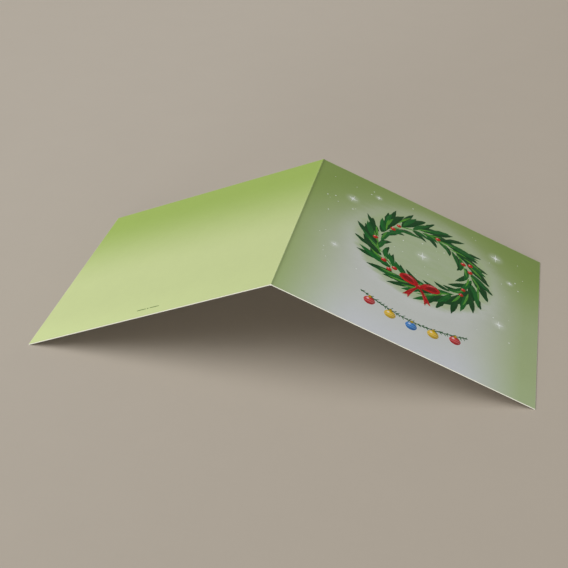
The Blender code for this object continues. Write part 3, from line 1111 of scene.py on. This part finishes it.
# Specks of snow: how many, where they fall, how far round it the wreath keeps them off,
# in shares of its ring, and their radii
SPECKS = 46
SPECKS_ACROSS = (0.06, 0.94)
SPECKS_UP = (0.3, 0.95)
KEPT_OFF = (0.75, 1.65)
SPECK_RADII = (0.0016, 0.0022, 0.0032)


class CARD_OT_scatter_stars(bpy.types.Operator):
    """Scatter stars and small specks of snow over the front cover"""

    bl_idname = "card.scatter_stars"
    bl_label = "Scatter the stars"

    def execute(self, context):
        drawing = Drawing(context, seed=21)
        sizes, chance = drawing.sizes, drawing.chance
        long_star = model_star("long star", STAR_TIPS, LONG_WAIST)
        short_star = model_star("short star", STAR_TIPS, SHORT_WAIST)
        ball = model_ball("speck", 10, 6)
        stars, specks = [], []
        for x, y, size in STAR_SHARES:
            place = drawing.place(x, y)
            lean = chance.uniform(-STAR_LEAN, STAR_LEAN)
            across, up = (size * reach for reach in LONG_REACH)
            stars.append(drawing.lay(long_star, place, lean, across, FINE_LIFT, 0.2, up))
            turned = lean + math.pi / STAR_TIPS
            stars.append(drawing.lay(short_star, place, turned, size * SHORT_REACH, SHORT_STAR_LIFT, 0.4))
        while len(specks) < SPECKS:
            x, y = chance.uniform(*SPECKS_ACROSS), chance.uniform(*SPECKS_UP)
            out = math.hypot(x - sizes.wreath_across, y - sizes.wreath_up) / sizes.wreath_ring
            if KEPT_OFF[0] < out < KEPT_OFF[1]:
                continue
            radius = chance.choice(SPECK_RADII)
            specks.append(drawing.lay(ball, drawing.place(x, y), 0, radius, FINE_LIFT, chance.random()))
        snow = drawing.colours.snow
        white = ink_material("snow ink", snow, tinted(snow, drawing.colours.wash, 0.35), snow, 0.45)
        finish_piece("cover_stars", stars, white)
        finish_piece("snow_specks", specks, white)
        drop_templates(long_star, short_star, ball)
        return {"FINISHED"}


# The garland's line, laid in lengths that overlap, and its needles
LINE_LENGTHS = 24
LINE_OVERLAP = 1.35
LINE_HALF_WIDTH = 0.0028
NEEDLES = 54
NEEDLE_DEGREES = (28, 62)
NEEDLE_LENGTHS = (0.012, 0.02)
NEEDLE_HALF_WIDTH = 0.0017
# Baubles: the colour, and the share of the garland at which it hangs
BAUBLE_SHARES = (("red", 0.1), ("gold", 0.3), ("blue", 0.5), ("gold", 0.7), ("red", 0.9))
# In shares of a bauble's radius, how far its middle and its cap hang below the line, and
# the cap's length and half-width
BALL_DROP = 1.12
CAP_DROP = 0.42
CAP_LENGTH = 0.62
CAP_HALF_WIDTH = 0.26


def hang(drawing, share):
    """Flat place on the garland's line at a share of its way."""
    sizes = drawing.sizes
    across = sizes.garland_left + (sizes.garland_right - sizes.garland_left) * share
    return drawing.place(across, sizes.garland_up - sizes.garland_sag * math.sin(math.pi * share))


def paint_line(drawing, stroke):
    """Lay the garland's line."""
    line = []
    for number in range(LINE_LENGTHS):
        first, last = (hang(drawing, at / LINE_LENGTHS) for at in (number, number + LINE_OVERLAP))
        way = last - first
        turn, length = math.atan2(way.y, way.x), way.length / drawing.unit
        lift = FINE_LIFT + STROKE_STEP * (number % 2)
        tint = drawing.chance.random()
        line.append(drawing.lay(stroke, first, turn, length, lift, tint, LINE_HALF_WIDTH))
    return line


def paint_needles(drawing, stroke):
    """Lay the garland's needles, on one side of its line and on the other in turn."""
    chance = drawing.chance
    needles = []
    for number in range(NEEDLES):
        first = hang(drawing, (number + chance.random()) / NEEDLES)
        side = 1 if number % 2 else -1
        turn = math.radians(side * chance.uniform(*NEEDLE_DEGREES))
        length = chance.uniform(*NEEDLE_LENGTHS)
        tint = chance.random()
        needles.append(drawing.lay(stroke, first, turn, length, NEEDLE_LIFT, tint, NEEDLE_HALF_WIDTH))
    return needles


class CARD_OT_hang_garland(bpy.types.Operator):
    """Hang the garland under the wreath, with its coloured baubles"""

    bl_idname = "card.hang_garland"
    bl_label = "Hang the garland"

    def execute(self, context):
        drawing = Drawing(context, seed=33)
        colours, radius = drawing.colours, drawing.sizes.bauble_radius
        slim = model_stroke("needle", NEEDLE_STROKE, drawing.chance)
        ball = model_ball("bauble", 28, 12)
        line = paint_line(drawing, slim)
        needles = paint_needles(drawing, slim)
        down = Vector((0, -drawing.unit * radius))
        balls, caps = {"red": [], "gold": [], "blue": []}, []
        for colour, share in BAUBLE_SHARES:
            top = hang(drawing, share)
            tint = drawing.chance.random()
            balls[colour].append(drawing.lay(ball, top + BALL_DROP * down, 0, radius, BERRY_LIFT, tint))
            length, half_width = radius * CAP_LENGTH, radius * CAP_HALF_WIDTH
            start = top + CAP_DROP * down
            caps.append(drawing.lay(slim, start, math.pi / 2, length, SHINE_LIFT, 0.5, half_width))
        fir, leaf, gold = colours.fir, colours.leaf, colours.gold
        finish_piece("garland_line", line, ink_material("garland ink", fir, shaded(fir, 0.5), leaf))
        finish_piece("garland_needles", needles, ink_material("needle ink", leaf, fir, colours.lime))
        for colour, parts in balls.items():
            main = getattr(colours, colour)
            light = tinted(main, colours.snow, 0.35)
            ink = round_material(f"{colour} bauble ink", main, shaded(main, 0.4), light, banded=True)
            finish_piece(f"baubles_{colour}", parts, ink)
        dull = ink_material("cap ink", tinted(gold, fir, 0.3), shaded(gold, 0.3), gold)
        finish_piece("bauble_caps", caps, dull)
        drop_templates(slim, ball)
        return {"FINISHED"}


# The rule: its middle on the back cover, its dot, and the gap and dash on each side
RULE_SHARES = (0.498, 0.049)
DOT_RADIUS = 0.0038
DASH_GAP = 0.007
DASH_LENGTH = 0.039
DASH_HALF_WIDTH = 0.0024


class CARD_OT_rule_back(bpy.types.Operator):
    """Draw the fine plain rule at the back cover's foot"""

    bl_idname = "card.rule_back"
    bl_label = "Rule the back cover"

    def execute(self, context):
        drawing = Drawing(context, seed=2)
        colours = drawing.colours
        dash = model_stroke("dash", DASH_STROKE, drawing.chance)
        ball = model_ball("dot", 12, 6)
        middle = drawing.place(*RULE_SHARES)
        parts = [drawing.lay(ball, middle, 0, DOT_RADIUS, FINE_LIFT, 0.5)]
        for turn in (0, math.pi):
            start = middle + drawing.unit * DASH_GAP * direction(turn)
            parts.append(drawing.lay(dash, start, turn, DASH_LENGTH, FINE_LIFT, 0.5, DASH_HALF_WIDTH))
        moss = tinted(colours.back_head, colours.fir, 0.7)
        ink = ink_material("rule ink", moss, shaded(moss, 0.6), colours.back_head)
        finish_piece("back_rule", parts, ink, back_cover)
        drop_templates(dash, ball)
        return {"FINISHED"}


def seen_straight(bench):
    """One where the camera sees a surface, a mirror shows it or glass lets it through."""
    rays = bench.add("ShaderNodeLightPath").outputs
    straight = bench.plus(rays["Is Camera Ray"], rays["Is Glossy Ray"])
    return bench.work("ADD", straight, rays["Is Transmission Ray"], clamp=True)


def lay_backdrop(bench, studio, kind, share, shown, end):
    """Send out what is shown, with a share of the plain backdrop laid over it."""
    plain = bench.add(kind, {"Color": studio.backdrop, "Strength": 1.0}).outputs[0]
    mixed = bench.add("ShaderNodeMixShader", {0: share, 1: shown, 2: plain}).outputs[0]
    bench.feed(bench.graph.nodes[end].inputs["Surface"], mixed)


# The floor's weave: its scale against the board's grain, and how much it shows
WEAVE_SCALE = 0.35
WEAVE_SHARE = 0.05
# Painted light on the floor, which makes its left side lighter: how much it leans back, and
# where it starts and is full
PAINTED_LIGHT_LEAN = 0.2
PAINTED_LIGHT_SPAN = (-0.2, 0.3)


def floor_material(studio):
    """Plain pale floor with the faintest weave and painted light on its left, which fades far out."""
    material, bench, shader = new_material("studio floor", 0.15)
    place = bench.add("ShaderNodeTexCoord").outputs["Object"]
    grain = bench.use(effect(paper_grain), place=place, scale=WEAVE_SCALE)
    weave = bench.carry(grain["Shade"], *ROUGH_SPAN, 0.0, WEAVE_SHARE)
    axes = bench.add("ShaderNodeSeparateXYZ", {"Vector": place}).outputs
    painted_light_leftward = bench.less(bench.times(axes["Y"], PAINTED_LIGHT_LEAN), axes["X"])
    # painted light: the floor is made lighter towards its left
    tone = bench.blend(bench.ease(painted_light_leftward, *PAINTED_LIGHT_SPAN), studio.floor, studio.floor_painted_light)
    bench.feed(shader.inputs["Base Color"], bench.blend(weave, tone, shaded(studio.floor, 0.5)))
    shader.inputs["Roughness"].default_value = 0.9
    faded = bench.ease(bench.gap(place, ORIGIN), studio.fade_start, studio.fade_end)
    far = bench.times(faded, seen_straight(bench))
    lay_backdrop(bench, studio, "ShaderNodeEmission", far, shader.outputs["BSDF"], "Material Output")
    return material


# Each lamp: which way it lies from the card, how far off, and its two sides
LARGE_LAMP = ((-0.48, -0.24, 0.777), 15.0, (16.5, 16.5))
LOW_LAMP = ((0.05, -1.0, 0.09), 30.0, (27.0, 4.5))


def hang_lamp(name, towards, distance, size, level):
    """Hang a soft lamp that gives a level of light on what faces it at the card."""
    towards = Vector(towards).normalized()
    lamp = bpy.data.lights.new(name, "AREA")
    lamp.shape = "RECTANGLE"
    lamp.size, lamp.size_y = size
    spread = 1 + (size[0] ** 2 + size[1] ** 2) / (12 * distance**2)
    lamp.energy = level * math.pi**2 * (distance * spread) ** 2
    holder = bpy.data.objects.new(name, lamp)
    holder.location = towards * distance
    holder.rotation_euler = (-towards).to_track_quat("-Z", "Y").to_euler()
    holder.visible_camera = False
    bpy.context.scene.collection.objects.link(holder)


def light_air(scene, studio):
    """Light from all round, with a plain pale background where it is seen straight."""
    world = bpy.data.worlds.new("studio air")
    world.use_nodes = True
    scene.world = world
    bench = Bench(world.node_tree)
    air = world.node_tree.nodes["Background"]
    bench.feed(air.inputs["Color"], grey(1.0))
    bench.feed(air.inputs["Strength"], studio.sky_level)
    straight = seen_straight(bench)
    lay_backdrop(bench, studio, "ShaderNodeBackground", straight, air.outputs[0], "World Output")


# The camera's sensor, in millimetres, and the nearest and farthest that it sees
SENSOR_WIDTH = 36
SIGHT = (0.01, 50)


def place_camera(scene, studio):
    """Place the camera at the photograph's viewing angle."""
    camera = bpy.data.cameras.new("camera")
    camera.lens = studio.camera_lens
    camera.sensor_width = SENSOR_WIDTH
    camera.clip_start, camera.clip_end = SIGHT
    seat = bpy.data.objects.new("camera", camera)
    seat.location = studio.camera_place
    turn, drop = studio.camera_turn, studio.camera_drop
    look = Vector((-math.sin(turn) * math.cos(drop), math.cos(turn) * math.cos(drop), -math.sin(drop)))
    seat.rotation_euler = look.to_track_quat("-Z", "Y").to_euler()
    scene.collection.objects.link(seat)
    scene.camera = seat


class CARD_OT_set_studio(bpy.types.Operator):
    """Lay the floor, hang the lamps and place the camera"""

    bl_idname = "card.set_studio"
    bl_label = "Set the studio"

    def execute(self, context):
        scene = context.scene
        studio = scene.studio_settings
        leave_edit_mode()
        bpy.ops.mesh.primitive_plane_add(size=studio.floor_side)
        floor = context.view_layer.objects.active
        floor.name = "floor"
        floor.data.materials.append(floor_material(studio))
        floor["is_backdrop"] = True
        hang_lamp("large lamp", *LARGE_LAMP, studio.lamp_level)
        hang_lamp("low front lamp", *LOW_LAMP, studio.front_level)
        light_air(scene, studio)
        place_camera(scene, studio)
        scene.view_settings.view_transform = "Standard"
        return {"FINISHED"}


class CARD_PT_panel(bpy.types.Panel):
    """Sizes, colours and steps of the greeting card"""

    bl_idname = "CARD_PT_panel"
    bl_label = "Greeting card"
    bl_space_type = "VIEW_3D"
    bl_region_type = "UI"
    bl_category = "Card"

    def draw(self, context):
        scene = context.scene
        for group in (scene.card_sizes, scene.print_colours, scene.studio_settings):
            column = self.layout.column()
            for name in group.__annotations__:
                column.prop(group, name)
        for step in STEPS:
            self.layout.operator(step.bl_idname)


STEPS = (
    CARD_OT_print_board,
    CARD_OT_paint_wreath,
    CARD_OT_paint_berries,
    CARD_OT_tie_bow,
    CARD_OT_scatter_stars,
    CARD_OT_hang_garland,
    CARD_OT_rule_back,
    CARD_OT_set_studio,
)
GROUPS = (CardSizes, PrintColours, StudioSettings)


def register():
    """Register the classes and their settings."""
    for made in (*GROUPS, *STEPS, CARD_PT_panel):
        bpy.utils.register_class(made)
    bpy.types.Scene.card_sizes = bpy.props.PointerProperty(type=CardSizes)
    bpy.types.Scene.print_colours = bpy.props.PointerProperty(type=PrintColours)
    bpy.types.Scene.studio_settings = bpy.props.PointerProperty(type=StudioSettings)


def unregister():
    """Take the classes and their settings away."""
    del bpy.types.Scene.card_sizes
    del bpy.types.Scene.print_colours
    del bpy.types.Scene.studio_settings
    for made in reversed((*GROUPS, *STEPS, CARD_PT_panel)):
        bpy.utils.unregister_class(made)


def main():
    """Print the card, light it, and work out its size before and after."""
    register()
    bpy.ops.card.print_board()
    bpy.ops.card.paint_wreath()
    bpy.ops.card.paint_berries()
    bpy.ops.card.tie_bow()
    bpy.ops.card.scatter_stars()
    bpy.ops.card.hang_garland()
    bpy.ops.card.rule_back()
    bpy.ops.card.set_studio()
    boxes = {"cad": CARD_BOX, "visual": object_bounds()}
    {name: [list(corner) for corner in box] for name, box in boxes.items()}


if __name__ == "__main__":
    main()
